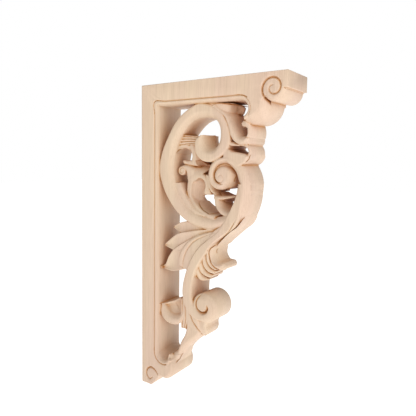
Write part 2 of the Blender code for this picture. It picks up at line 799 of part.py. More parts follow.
def carve_volutes(target):
    """Cut the spiral grooves of the end block and the foot into both sides."""
    spiral = []
    for turn in np.linspace(0, 1, 15):
        radius = SPIRAL_START_RADIUS + turn * (SPIRAL_END_RADIUS - SPIRAL_START_RADIUS)
        angle = math.radians(SPIRAL_START_ANGLE + turn * SPIRAL_TURN)
        x = SPIRAL_CENTER[0] + radius * math.cos(angle)
        z = SPIRAL_CENTER[1] + radius * math.sin(angle)
        spiral.append((x, z, 0.0))
    foot = [
        (22.4, -286.2, 0.0),
        (17.6, -281.6, 0.0),
        (11.4, -280.2, 0.0),
        (6.6, -284.0, 0.0),
        (6.2, -289.6, 0.0),
        (10.4, -292.8, 0.0),
        (14.0, -290.0, 0.0),
    ]
    for side in (-1, 1):
        for line in (spiral, foot):
            cutter = groove("groove", line, GROOVE_WIDTH, GROOVE_DEPTH, side)
            combine(target, cutter, "DIFFERENCE")


def tidy(target):
    """Merge points that nearly coincide where carved forms cross."""
    mesh = bmesh.new()
    mesh.from_mesh(target.data)
    bmesh.ops.triangulate(mesh, faces=mesh.faces[:])
    bmesh.ops.remove_doubles(mesh, verts=mesh.verts[:], dist=MERGE_DISTANCE)
    bmesh.ops.dissolve_degenerate(mesh, edges=mesh.edges[:], dist=MERGE_DISTANCE)
    mesh.to_mesh(target.data)
    mesh.free()


def wood():
    """Raw sanded hardwood."""
    material = bpy.data.materials.new("wood")
    material.use_nodes = True
    shader = material.node_tree.nodes["Principled BSDF"]
    shader.inputs["Base Color"].default_value = WOOD_COLOR
    shader.inputs["Roughness"].default_value = WOOD_ROUGHNESS
    shader.inputs["Metallic"].default_value = 0.0
    material.diffuse_color = WOOD_COLOR
    return material


def main():
    """Build the bracket as one solid."""
    for old in list(bpy.data.objects):
        bpy.data.objects.remove(old, do_unlink=True)
    bracket = bands()
    pieces = [bead(), middle_bead()] + lobes()
    pieces += [scroll(), inner_hook(), small_volute(), top_leaf()]
    pieces += outer_hook() + lower_hook()
    pieces += [stem(), husk(), lower_volute()] + flutes()
    pieces += leaf() + left_curl() + tail() + inner_carving()
    union(bracket, pieces)
    carve_volutes(bracket)
    tidy(bracket)
    bracket.data.materials.clear()
    bracket.data.materials.append(wood())
    bracket.data.shade_smooth()
    bracket.data.set_sharp_from_angle(angle=SHARP_ANGLE)


main()
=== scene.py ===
"""Carved wooden corbel bracket: fine relief of the carving, wood, light and camera."""

import math

import bpy
import numpy as np
from mathutils import Matrix, Vector


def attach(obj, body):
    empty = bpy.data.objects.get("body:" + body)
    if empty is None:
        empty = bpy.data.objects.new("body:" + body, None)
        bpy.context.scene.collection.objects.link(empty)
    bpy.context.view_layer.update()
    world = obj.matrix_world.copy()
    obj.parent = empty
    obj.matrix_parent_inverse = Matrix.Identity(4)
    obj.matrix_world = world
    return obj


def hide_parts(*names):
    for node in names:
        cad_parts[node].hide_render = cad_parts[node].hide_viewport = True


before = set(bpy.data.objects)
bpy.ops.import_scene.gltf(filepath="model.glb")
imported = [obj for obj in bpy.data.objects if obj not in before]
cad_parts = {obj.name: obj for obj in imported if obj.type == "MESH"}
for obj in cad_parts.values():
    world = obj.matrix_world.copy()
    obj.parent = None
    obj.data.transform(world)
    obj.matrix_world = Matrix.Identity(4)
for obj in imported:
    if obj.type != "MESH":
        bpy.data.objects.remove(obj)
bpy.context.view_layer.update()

# Sizes of the bracket in millimetres: x out from the wall, z down from the shelf
MM = 0.001
HEIGHT = 298.45
PROJECTION = 152.4
HALF = 19.05
BAND = 16.5
BEAD = 3.7
BEAD_DROP = 3.0
FOOT = 12.6
NOSE = 13.0
POCKET = (27.2, -262.0)
POCKET_RADIUS = 7.0
RAIL_END = (109.4, -27.0)
RAIL_END_RADIUS = 6.8

# The relief is drawn on a grid of heights above the mid-plane
COLUMNS = 381
ROWS = 746
STEP_X = PROJECTION / COLUMNS
STEP_Z = HEIGHT / ROWS

# Slopes of the walls around a form, and how far outside its outline they go
WALL_SLOPE = 6.0
RIM_SLOPE = 1.2
REACH = 3.0

# Spacing along strands and grooves, and the fillet between two outlines
STRAND_STEP = 0.9
GROOVE_STEP = 0.6
OUTLINE_FILLET = 0.6

# Least thickness on each side of the mid-plane, and the size of the finished mesh
LEAST_HEIGHT = 1.0
TRIANGLES = 190000

# Stand-ins for no distance and for a very large one
TINY = 1e-6
FAR = 99.0

GRID_X, GRID_Z = np.meshgrid(
    np.arange(-1, COLUMNS + 2) * STEP_X,
    -np.arange(-1, ROWS + 2) * STEP_Z,
)
inside = np.full(GRID_X.shape, -FAR)
level = np.zeros(GRID_X.shape)
rim = np.zeros(GRID_X.shape)


def window(points, reach):
    """Grid slices that cover some points and a margin around them."""
    points = np.asarray(points, dtype=float)
    low = points.min(axis=0) - reach
    high = points.max(axis=0) + reach
    columns = np.clip([low[0] / STEP_X + 1, high[0] / STEP_X + 2], 0, COLUMNS + 3).astype(int)
    rows = np.clip([-high[1] / STEP_Z + 1, -low[1] / STEP_Z + 2], 0, ROWS + 3).astype(int)
    return slice(rows[0], rows[1]), slice(columns[0], columns[1])


def station_gaps(stations):
    """Distances between stations, along the middle of the run."""
    rows = np.array(stations, dtype=float)
    middle = (rows[:, 0:2] + rows[:, 2:4]) / 2 if rows.shape[1] >= 4 else rows[:, 0:2]
    return np.maximum(np.linalg.norm(np.diff(middle, axis=0), axis=1), 0.5)


def station_rows(stations, step=STRAND_STEP):
    """Row of the smooth run at which each station lies."""
    counts = [max(2, int(math.ceil(gap / step))) for gap in station_gaps(stations)]
    return np.concatenate([[0], np.cumsum(counts)])


def spline(stations, step=STRAND_STEP):
    """Smooth run through rows of numbers, with rows about one step apart."""
    rows = np.array(stations, dtype=float)
    gaps = station_gaps(stations)
    knots = np.concatenate([[0.0], np.cumsum(gaps)])
    slopes = np.gradient(rows, knots, axis=0)
    dense = []
    for index, gap in enumerate(gaps):
        last = index == len(gaps) - 1
        count = max(2, int(math.ceil(gap / step)))
        shares = np.linspace(0, 1, count + 1)
        for share in (shares if last else shares[:-1]):
            square = share * share
            cube = square * share
            dense.append(
                (2 * cube - 3 * square + 1) * rows[index]
                + (cube - 2 * square + share) * gap * slopes[index]
                + (3 * square - 2 * cube) * rows[index + 1]
                + (cube - square) * gap * slopes[index + 1]
            )
    return np.array(dense)


def within(near, area):
    """Slices of a small window, counted from the corner of an area."""
    return tuple(
        slice(max(part.start - whole.start, 0), max(part.stop - whole.start, 0))
        for part, whole in zip(near, area)
    )


def line_distance(line, reach, area):
    """Distance to a polyline and the place along it, on the grid nodes of an area."""
    x = GRID_X[area]
    z = GRID_Z[area]
    distance = np.full(x.shape, FAR)
    place = np.zeros(x.shape)
    for index in range(len(line) - 1):
        start = line[index]
        end = line[index + 1]
        part = within(window([start, end], reach), area)
        px = x[part]
        if px.size == 0:
            continue
        pz = z[part]
        run = end - start
        length = max(float(run @ run), 1e-12)
        share = np.clip(((px - start[0]) * run[0] + (pz - start[1]) * run[1]) / length, 0, 1)
        away = np.hypot(px - start[0] - share * run[0], pz - start[1] - share * run[1])
        closer = away < distance[part]
        distance[part] = np.where(closer, away, distance[part])
        place[part] = np.where(closer, index + share, place[part])
    return distance, place


def covered(rows, area):
    """Grid nodes of an area that lie between the two edges of a ribbon."""
    x = GRID_X[area]
    z = GRID_Z[area]
    mask = np.zeros(x.shape, dtype=bool)
    for first, second in zip(rows, rows[1:]):
        corners = np.array([first[0:2], first[2:4], second[2:4], second[0:2]])
        part = within(window(corners, 0.2), area)
        px = x[part]
        if px.size == 0:
            continue
        pz = z[part]
        for corner in ((0, 1, 2), (0, 2, 3)):
            a, b, c = corners[list(corner)]
            signs = []
            for p, q in ((a, b), (b, c), (c, a)):
                signs.append((q[0] - p[0]) * (pz - p[1]) - (q[1] - p[1]) * (px - p[0]))
            positive = (signs[0] >= 0) & (signs[1] >= 0) & (signs[2] >= 0)
            negative = (signs[0] <= 0) & (signs[1] <= 0) & (signs[2] <= 0)
            mask[part] |= positive | negative
    return mask


def soft_max(first, second, width):
    """Larger of two fields, with a fillet where they are close."""
    overlap = np.maximum(1 - np.abs(first - second) / max(width, TINY), 0)
    return np.maximum(first, second) + width / 4 * overlap * overlap


def lay(area, shape, height, blend):
    """Add one carved form: its signed distance inside its outline, and its height."""
    outside = np.maximum(-shape, 0)
    steep = height - WALL_SLOPE * outside
    gentle = height - RIM_SLOPE * outside
    close = shape > -REACH
    present = inside[area] > -REACH
    level_now = level[area]
    rim_now = rim[area]
    joined = soft_max(level_now, steep, blend)
    joined_rim = soft_max(rim_now, gentle, blend)
    level[area] = np.where(close, np.where(present, joined, steep), level_now)
    rim[area] = np.where(close, np.where(present, joined_rim, gentle), rim_now)
    inside[area] = soft_max(inside[area], shape, OUTLINE_FILLET)


def at(place, values):
    """Values given along a line, read at the places found on the grid."""
    values = np.asarray(values, dtype=float)
    return np.interp(place, np.arange(len(values)), values)


def ease(distance, width, drop):
    """Drop next to an edge that eases out to nothing over a width."""
    share = np.clip(1 - distance / np.maximum(width, TINY), 0, 1)
    return drop * share * share


def ribbon(stations, outer=(1.2, 0.7), inner=(1.2, 0.7), hollow=0.0, ribs=None, blend=0.4,
           well=None, dense=True):
    """Carved strand between two edges; rows are outer x, z, inner x, z and sink."""
    rows = spline(stations) if dense else np.array(stations, dtype=float)
    points = np.concatenate([rows[:, 0:2], rows[:, 2:4]])
    widths = np.linalg.norm(rows[:, 0:2] - rows[:, 2:4], axis=1)
    reach = max(REACH + 0.5, widths.max() * 0.75)
    area = window(points, REACH + 1)
    to_outer, place_outer = line_distance(rows[:, 0:2], reach + REACH, area)
    to_inner, place_inner = line_distance(rows[:, 2:4], reach + REACH, area)
    first_end, _ = line_distance(rows[0][0:4].reshape(2, 2), REACH + 3, area)
    last_end, _ = line_distance(rows[-1][0:4].reshape(2, 2), REACH + 3, area)
    mask = covered(rows, area)
    across = to_outer / np.maximum(to_outer + to_inner, TINY)
    place = place_outer * (1 - across) + place_inner * across
    nearest = np.minimum(np.minimum(to_outer, to_inner), np.minimum(first_end, last_end))
    shape = np.where(mask, nearest, -nearest)
    width = at(place, widths)
    from_outer = np.where(mask, to_outer, np.where(to_outer < to_inner, 0, width))
    from_inner = np.where(mask, to_inner, np.where(to_outer < to_inner, width, 0))
    height = HALF - at(place, rows[:, 4])
    starts = station_rows(stations) if dense else np.arange(len(rows))
    outer_w, outer_d = along_run(outer, place, starts)
    inner_w, inner_d = along_run(inner, place, starts)
    height = height - ease(from_outer, outer_w, outer_d) - ease(from_inner, inner_w, inner_d)
    share = np.clip(from_outer / np.maximum(from_outer + from_inner, TINY), 0, 1)
    height = height - hollow * np.sin(math.pi * share)
    if well:
        spots = [starts[station] for station, _, _, _ in well]
        begin, run, drop = (
            np.interp(place, spots, [row[column] for row in well]) for column in (1, 2, 3)
        )
        fall = np.clip((from_outer - begin) / run, 0, 1)
        height = height - drop * fall * fall * (3 - 2 * fall)
    if ribs:
        number, depth = ribs
        height = height - depth * (0.5 - 0.5 * np.cos(2 * math.pi * number * share)) ** 3
    lay(area, shape, height, blend)


def along_run(pair, place, starts):
    """Width and drop of an edge, either fixed or given at some of the stations."""
    if isinstance(pair[0], (int, float)):
        return pair[0], pair[1]
    spots = np.array([starts[station] for station, _, _ in pair])
    widths = np.interp(place, spots, [width for _, width, _ in pair])
    drops = np.interp(place, spots, [drop for _, _, drop in pair])
    return widths, drops


def arc(center, radius, start, end, count):
    """Points on an arc; angles are in degrees, anticlockwise from +x."""
    angles = np.radians(np.linspace(start, end, count))
    return [
        (center[0] + radius * math.cos(angle), center[1] + radius * math.sin(angle))
        for angle in angles
    ]


def block(outline, sink, dome, blend=0.4):
    """Area inside a closed outline, with its face eased down towards the outline."""
    points = np.array(list(outline) + [outline[0]], dtype=float)
    area = window(points, REACH + 1)
    x = GRID_X[area]
    z = GRID_Z[area]
    reach = max(dome[0], REACH) + 1
    distance, _ = line_distance(points, reach, area)
    crossings = np.zeros(x.shape, dtype=int)
    for first, second in zip(points, points[1:]):
        if first[1] == second[1]:
            continue
        between = (z > min(first[1], second[1])) & (z <= max(first[1], second[1]))
        cut = first[0] + (z - first[1]) / (second[1] - first[1]) * (second[0] - first[0])
        crossings += between & (cut > x)
    shape = np.where(crossings % 2 == 1, distance, -distance)
    height = HALF - sink - ease(np.maximum(shape, 0), dome[0], dome[1])
    lay(area, shape, height, blend)


def cut(stations, width, depth, power=1.5):
    """Groove along a line; rows are x, z and a factor on the width and the depth."""
    rows = spline(stations, GROOVE_STEP)
    area = window(rows[:, 0:2], width)
    distance, place = line_distance(rows[:, 0:2], width, area)
    factor = at(place, rows[:, 2])
    share = np.clip(1 - distance / np.maximum(width / 2 * np.sqrt(factor), TINY), 0, 1)
    amount = depth * factor * share ** power
    level[area] -= amount
    rim[area] -= amount


def frame_bands():
    """Flat bands of the leg and the rail, with the bead inside them."""
    outline = [(0.0, 0.0), (0.0, -HEIGHT), (FOOT, -HEIGHT), (17.4, -293.4), (21.6, -288.0)]
    outline += [(24.0, -284.2), (28.6, -281.6), (32.0, -277.6)]
    outline += arc(POCKET, POCKET_RADIUS + BEAD, -56, -180, 24)
    outline += [(BAND, -BAND)]
    outline += arc(RAIL_END, RAIL_END_RADIUS + BEAD, 90, -45, 24)
    outline += [(121.4, -33.2), (127.0, -28.0), (130.0, -21.0), (137.0, -NOSE)]
    outline += [(PROJECTION, -NOSE), (PROJECTION, 0.0)]
    block(outline, 0.0, (0.5, 0.25), 0.0)

    aside = 0.3
    groove = arc(POCKET, POCKET_RADIUS + BEAD + aside, -24, -180, 30)
    rim_line = arc(POCKET, POCKET_RADIUS, -24, -180, 30)
    for share in np.linspace(0, 1, 40)[1:]:
        groove.append((BAND - aside, POCKET[1] + share * (-BAND + aside - POCKET[1])))
        rim_line.append((BAND + BEAD, POCKET[1] + share * (-BAND - BEAD - POCKET[1])))
    for share in np.linspace(0, 1, 16)[1:-1]:
        groove.append((BAND - aside + share * (RAIL_END[0] - BAND + aside), -BAND + aside))
        rim_line.append((BAND + BEAD + share * (RAIL_END[0] - BAND - BEAD), -BAND - BEAD))
    groove += arc(RAIL_END, RAIL_END_RADIUS + BEAD + aside, 90, -62, 30)
    rim_line += arc(RAIL_END, RAIL_END_RADIUS, 90, -62, 30)
    rows = [(*a, *b, 0.25) for a, b in zip(groove, rim_line)]
    ribbon(rows, outer=(0.9, 0.9), inner=(2.6, BEAD_DROP), blend=0.0, dense=False)
    cut([(x, z, 1.0) for x, z in groove[::2]], 1.7, 1.5)


def end_lobes():
    """Rounded lobes at the outer end of the rail and at the foot of the leg."""
    # Large lobe around the end of the rail
    large = arc((119.0, -23.0), 17.0, -116, 8, 30)
    large_in = arc(RAIL_END, RAIL_END_RADIUS + BEAD, -64, 52, 30)
    ribbon([(*a, *b, 0.0) for a, b in zip(large, large_in)], outer=(9.0, 7.0),
           inner=(0.3, 0.0), blend=0.6, dense=False)
    # Lobe of the foot, and the low ground between it and the tail
    foot = [(22.0, -284.0), (25.6, -286.6), (30.4, -287.2), (35.4, -285.0), (39.0, -280.6),
            (40.3, -274.4), (39.2, -268.4), (35.6, -262.8)]
    foot_in = arc((27.2, -270.0), 5.0, -110, 8, 6) + [(32.6, -266.6), (33.4, -261.6)]
    sinks = (0.0, 0.0, 0.0, 0.1, 0.3, 0.8, 1.6, 2.8)
    ribbon([(*a, *b, c) for a, b, c in zip(foot, foot_in, sinks)],
           outer=((0, 0.6, 0.4), (1, 2.0, 1.4), (3, 4.5, 3.6), (7, 3.4, 4.6)), inner=(0.4, 0.2),
           blend=0.6)
    block([(35.0, -261.4), (39.0, -259.0), (43.4, -261.4), (41.0, -267.2), (39.6, -271.0),
           (36.0, -275.0), (33.4, -268.0)], 6.6, (3.0, 2.6), 1.6)
    # Small lobe under the end block
    small = arc((140.0, -13.0), 10.0, -170, -10, 24) + [(149.8, -8.0), (130.2, -8.0)]
    block(small, 0.0, (3.4, 2.0), 0.6)


def scroll():
    """Large C-scroll: hook at the upper end, ring, volute at the lower end."""
    # Hook and ring
    ribbon([
        (66.4, -48.0, 73.4, -47.6, 3.4),
        (62.6, -51.6, 73.4, -50.8, 2.8),
        (61.4, -57.2, 74.4, -54.6, 2.5),
        (63.0, -64.6, 76.0, -57.6, 2.5),
        (69.5, -70.4, 78.6, -58.8, 2.5),
        (78.5, -71.8, 80.8, -58.8, 2.5),
        (88.5, -68.0, 83.6, -57.0, 2.5),
        (97.0, -60.0, 86.0, -53.0, 2.5),
        (99.0, -49.8, 86.8, -47.0, 2.5),
        (95.5, -38.6, 85.9, -40.4, 2.5),
        (89.0, -29.0, 82.6, -35.2, 2.5),
        (78.5, -22.2, 75.6, -32.8, 2.5),
        (66.0, -19.6, 66.5, -32.5, 2.5),
        (53.0, -25.0, 57.6, -35.5, 2.5),
        (41.0, -33.8, 49.5, -42.1, 2.5),
        (30.4, -48.8, 42.0, -52.0, 2.5),
        (22.0, -66.0, 37.2, -64.5, 2.5),
        (19.6, -80.0, 35.4, -78.1, 2.5),
        (23.8, -95.0, 37.9, -92.3, 2.5),
        (31.9, -108.6, 44.4, -104.0, 2.5),
        (42.5, -119.9, 53.6, -113.1, 2.5),
        (56.0, -128.5, 64.7, -118.7, 2.5),
        (70.2, -132.5, 76.9, -121.0, 2.5),
        (85.3, -133.5, 89.1, -120.0, 2.5),
        (100.0, -127.0, 99.2, -115.3, 2.5),
        (111.5, -114.0, 105.3, -107.6, 2.5),
        (117.8, -99.0, 108.0, -98.0, 2.5),
        (118.2, -90.0, 108.0, -90.8, 2.5),
        (115.4, -80.5, 105.6, -83.0, 2.5),
    ], outer=((0, 2.4, 1.4), (20, 2.4, 1.4), (23, 7.0, 5.0), (28, 7.0, 5.0)),
        inner=((0, 8.4, 15.5), (2, 9.6, 15.5), (3, 9.0, 14.0), (4, 7.4, 10.0), (6, 6.0, 6.0),
               (11, 6.0, 4.4), (28, 5.5, 3.8)))
    # Volute at the end of the ring
    ribbon([
        (117.8, -99.0, 108.0, -98.0, 2.5),
        (118.2, -90.0, 108.0, -90.8, 2.5),
        (115.4, -80.5, 105.6, -83.0, 2.5),
        (109.8, -72.6, 101.0, -76.6, 2.5),
        (102.0, -68.3, 95.2, -72.8, 2.5),
        (93.4, -67.4, 89.2, -73.2, 2.5),
        (84.6, -69.6, 85.0, -75.4, 2.8),
        (78.8, -75.0, 82.8, -79.2, 3.0),
        (76.6, -82.6, 82.2, -83.4, 3.0),
        (78.4, -89.8, 83.6, -87.8, 3.0),
        (82.8, -94.4, 86.4, -90.2, 3.0),
        (89.0, -95.9, 89.8, -91.4, 3.0),
        (94.6, -94.4, 93.4, -90.4, 3.4),
        (98.8, -91.4, 96.2, -88.2, 4.4),
        (101.8, -87.0, 97.8, -85.4, 6.0),
    ], outer=((0, 7.0, 5.0), (3, 5.0, 3.5), (5, 2.0, 1.2), (10, 2.6, 1.6), (12, 5.0, 4.0),
              (14, 5.0, 5.0)),
        inner=((0, 5.5, 3.8), (4, 5.0, 4.0), (6, 3.0, 2.4), (8, 0.8, 0.2), (14, 0.8, 0.2)),
        blend=0.3)
    # Eye of the volute and the groove around it
    block(arc((91.4, -83.6), 12.0, 0, 352, 45), 3.0, (7.0, 7.0), 0.3)
    cut([(103.0, -81.0, 1.6), (98.4, -76.4, 1.4), (93.6, -74.6, 1.0), (89.6, -75.0, 0.8),
         (85.8, -77.2, 1.0), (83.2, -80.4, 1.1), (82.4, -84.4, 1.2), (83.8, -87.8, 1.2),
         (86.4, -89.6, 0.9), (89.8, -89.8, 0.5), (92.4, -87.6, 0.3), (92.2, -84.2, 0.3),
         (89.6, -82.6, 0.3), (87.6, -84.4, 0.3)], 3.0, 1.9)


def hooks():
    """Strands that leave the ring towards the outer edge."""
    # Hook that leaves the ring below the rail
    ribbon([
        (79.0, -23.4, 84.0, -21.6, 3.2),
        (88.0, -28.6, 93.0, -26.0, 3.0),
        (92.6, -33.0, 99.4, -30.4, 3.0),
        (95.6, -38.4, 101.8, -35.6, 3.0),
        (97.6, -43.6, 104.4, -40.6, 2.9),
        (99.6, -49.4, 107.2, -44.8, 2.8),
        (103.6, -54.2, 110.0, -47.8, 2.7),
        (109.4, -56.8, 112.0, -49.2, 2.6),
        (115.4, -54.4, 114.0, -48.2, 2.8),
        (118.2, -48.6, 114.8, -45.8, 3.4),
        (118.2, -42.6, 114.2, -43.0, 4.0),
        (116.0, -37.8, 112.2, -42.0, 4.2),
        (111.8, -36.2, 110.4, -41.8, 4.4),
        (109.0, -38.0, 109.0, -40.6, 4.8),
    ], outer=((0, 1.4, 1.0), (7, 1.4, 1.0), (9, 2.4, 2.0), (13, 1.6, 1.4)),
        inner=((0, 3.0, 2.0), (2, 6.0, 11.0), (4, 6.4, 13.5), (6, 6.4, 12.0), (7, 5.0, 8.0),
               (9, 2.0, 2.0), (13, 1.4, 1.2)))
    # Lower hook and the ground behind it
    ribbon([
        (99.0, -54.0, 98.4, -57.6, 4.0),
        (105.0, -55.6, 104.6, -57.8, 4.4),
        (111.0, -56.0, 110.6, -58.0, 4.8),
        (116.2, -57.8, 114.8, -59.6, 5.2),
        (118.3, -62.6, 116.0, -63.0, 5.2),
        (117.4, -68.4, 114.6, -66.2, 5.0),
        (112.0, -73.4, 109.0, -69.4, 4.4),
    ], outer=(1.8, 1.6), inner=(1.0, 0.8))
    block([(92.0, -68.0), (93.0, -60.4), (97.4, -60.8), (100.0, -62.6), (106.0, -63.4),
           (112.0, -64.4), (117.0, -66.6), (114.0, -72.0), (106.0, -76.0), (98.0, -73.0)],
          3.0, (1.6, 1.0), 1.2)
    # Bead between the hooks, with a line above and below
    block(arc((112.6, -53.6), 4.6, -62, 62, 9) + [(108.0, -50.8), (108.0, -56.8)], 4.4,
          (1.4, 1.2))
    cut([(112.0, -50.6, 0.6), (115.0, -51.0, 1.0), (119.0, -51.0, 1.0)], 1.3, 1.2)
    cut([(112.0, -57.0, 0.6), (115.4, -56.4, 1.0), (119.4, -56.0, 1.0)], 1.3, 1.2)
    # Leaf under the rail
    ribbon([
        (72.0, -20.0, 76.0, -23.5, 4.2),
        (82.0, -20.4, 84.0, -25.0, 4.4),
        (90.0, -21.0, 90.6, -27.6, 5.0),
        (96.4, -21.6, 95.6, -30.0, 8.4),
        (101.2, -22.4, 99.4, -30.2, 15.0),
        (104.6, -25.0, 103.0, -29.6, 18.2),
    ], outer=(1.4, 1.0), inner=(1.0, 0.8))


def stem():
    """S-shaped strand from the ring to the lower volute, with its husk and feathers."""
    # Feathers behind the husk, the lowest first
    for stations in (
        [
            (65.4, -164.6, 69.0, -162.6, 4.6),
            (62.0, -172.4, 67.0, -171.0, 5.6),
            (62.8, -179.0, 68.6, -177.0, 7.0),
            (67.0, -182.4, 72.8, -179.6, 8.2),
            (73.0, -181.6, 75.4, -179.4, 9.2),
        ], [
            (69.4, -159.4, 73.0, -157.4, 4.2),
            (65.6, -166.8, 71.0, -165.4, 5.0),
            (67.4, -173.8, 73.0, -171.6, 6.2),
            (72.6, -177.4, 77.4, -174.4, 7.4),
            (77.0, -178.4, 79.4, -175.4, 8.4),
        ], [
            (73.8, -154.8, 77.4, -152.6, 3.8),
            (70.4, -161.8, 75.6, -160.4, 4.4),
            (72.4, -169.0, 77.6, -167.0, 5.4),
            (77.6, -173.0, 81.6, -170.4, 6.6),
            (81.6, -173.8, 83.0, -171.4, 7.6),
        ], [
            (77.6, -149.6, 81.4, -150.0, 3.4),
            (75.0, -155.6, 80.0, -156.0, 3.8),
            (75.6, -162.6, 81.0, -162.0, 4.6),
            (79.4, -167.8, 84.4, -166.6, 5.6),
            (83.4, -169.8, 86.6, -168.0, 6.6),
        ],
    ):
        ribbon(stations, outer=(1.4, 1.3), inner=(3.4, 3.0), blend=0.1)
    # Husk
    ribbon([
        (118.0, -91.0, 108.0, -90.0, 2.8),
        (117.6, -105.0, 110.0, -104.0, 2.6),
        (113.8, -117.0, 105.6, -114.6, 2.5),
        (107.4, -127.2, 98.0, -122.0, 2.5),
        (100.4, -132.8, 91.0, -128.0, 2.6),
        (90.6, -141.8, 82.0, -135.0, 2.8),
        (85.8, -147.0, 77.0, -142.6, 3.0),
        (83.6, -152.4, 78.4, -151.2, 3.0),
        (83.4, -157.4, 79.4, -158.4, 3.2),
        (85.6, -161.0, 81.6, -164.0, 3.4),
        (89.4, -162.2, 86.4, -167.8, 4.4),
        (92.4, -162.8, 91.2, -168.6, 5.6),
        (94.4, -165.0, 94.0, -166.8, 7.6),
    ], outer=((0, 7.0, 5.0), (5, 7.0, 6.6), (6, 6.6, 8.0), (7, 6.0, 9.0), (9, 4.6, 8.6),
              (10, 3.6, 5.0), (12, 2.4, 3.0)),
        inner=((0, 1.2, 0.8), (6, 1.2, 0.8), (8, 1.6, 1.2), (10, 2.6, 3.0), (12, 2.0, 2.4)))
    # Stem
    ribbon([
        (106.8, -92.0, 111.6, -92.0, 4.4),
        (106.0, -101.0, 112.4, -102.0, 2.4),
        (102.4, -110.0, 111.0, -113.2, 2.0),
        (96.0, -121.4, 107.0, -125.4, 2.0),
        (88.0, -133.0, 96.2, -135.2, 2.0),
        (77.6, -141.4, 84.4, -144.2, 2.0),
        (68.9, -148.7, 77.4, -152.6, 2.2),
        (60.8, -158.8, 70.4, -162.0, 2.4),
        (54.7, -170.9, 64.2, -172.4, 2.6),
        (50.4, -183.1, 60.6, -183.4, 2.8),
        (48.8, -193.4, 59.4, -193.2, 2.8),
        (49.6, -202.0, 60.0, -200.6, 2.8),
        (52.6, -209.8, 62.2, -206.4, 2.8),
        (58.6, -216.0, 65.6, -210.4, 2.8),
        (66.4, -219.4, 69.6, -212.8, 2.8),
        (75.4, -219.0, 73.8, -213.0, 3.2),
        (82.4, -213.8, 77.4, -210.6, 4.4),
        (85.0, -206.4, 78.8, -206.2, 6.0),
    ], outer=((0, 1.4, 1.0), (13, 1.4, 1.0), (15, 3.4, 2.4), (17, 5.0, 4.0)),
        inner=((0, 1.0, 0.8), (9, 1.6, 1.2), (12, 2.4, 1.8), (17, 1.0, 0.4)), blend=0.3)
    # Creases on the two sides of the husk
    cut([(106.6, -121.0, 0.2), (102.6, -128.2, 0.8), (96.4, -134.8, 1.1), (89.0, -141.0, 1.2),
         (82.6, -146.4, 1.2), (77.0, -151.8, 0.8)], 2.0, 1.5)
    cut([(85.0, -145.4, 0.4), (80.6, -148.6, 1.0), (78.2, -153.4, 1.1), (78.8, -159.0, 1.1),
         (81.4, -164.2, 1.0), (85.4, -168.0, 0.6)], 1.8, 1.4)
    # Lower volute and its spiral groove
    block(arc((73.0, -207.2), 13.9, 0, 352, 48), 3.0, (6.0, 3.6), 0.6)
    cut([(68.6, -195.6, 0.5), (65.6, -199.6, 0.8), (64.9, -204.7, 1.0), (66.8, -209.2, 1.2),
         (71.6, -211.4, 1.4), (76.0, -209.6, 1.4), (77.8, -205.6, 0.9), (77.2, -203.0, 0.3)],
        3.6, 2.8)


def leaf():
    """Three-lobed leaf between the stem and the wall leg."""
    # High lobe
    ribbon([
        (84.0, -130.0, 86.0, -136.0, 5.0),
        (68.0, -128.5, 68.0, -139.0, 5.6),
        (54.5, -127.4, 54.0, -141.6, 6.4),
        (44.0, -129.2, 45.0, -140.0, 7.0),
        (33.4, -134.6, 34.0, -135.6, 8.0),
    ], outer=(1.0, 0.8), inner=(1.0, 0.8), hollow=1.6)
    # Middle lobe
    ribbon([
        (86.0, -131.0, 86.0, -137.0, 4.6),
        (70.0, -133.6, 70.0, -144.0, 4.8),
        (54.0, -136.8, 54.0, -154.0, 5.0),
        (40.0, -140.8, 44.0, -158.4, 5.2),
        (30.0, -148.0, 34.0, -156.6, 5.6),
        (24.0, -153.0, 25.0, -154.2, 6.2),
    ], outer=(1.0, 0.8), inner=(1.0, 0.8), hollow=1.8)
    # Low lobe
    ribbon([
        (66.0, -138.0, 77.0, -146.0, 4.8),
        (50.0, -147.0, 67.0, -158.0, 5.0),
        (36.4, -155.8, 58.0, -170.0, 5.0),
        (29.8, -164.0, 47.0, -174.4, 5.2),
        (25.6, -172.0, 33.0, -178.0, 5.8),
        (20.8, -175.0, 21.6, -177.0, 6.8),
    ], outer=(1.0, 0.8), inner=(1.0, 0.8), hollow=1.8)
    # Rib of the low lobe and its vein
    ribbon([
        (86.0, -133.0, 89.0, -138.0, 3.6),
        (70.4, -137.0, 78.6, -143.6, 3.8),
        (56.8, -143.6, 70.0, -151.0, 4.0),
        (47.9, -152.4, 63.0, -160.4, 4.2),
        (43.0, -162.4, 57.6, -169.4, 4.4),
        (42.0, -170.4, 54.4, -174.0, 5.0),
    ], outer=(2.0, 1.6), inner=(1.0, 0.6))
    cut([(84.0, -134.4, 0.3), (72.0, -139.4, 0.8), (61.4, -145.2, 1.0), (53.0, -154.4, 1.0),
         (48.8, -164.4, 1.0), (47.4, -172.4, 0.6)], 2.4, 1.0)


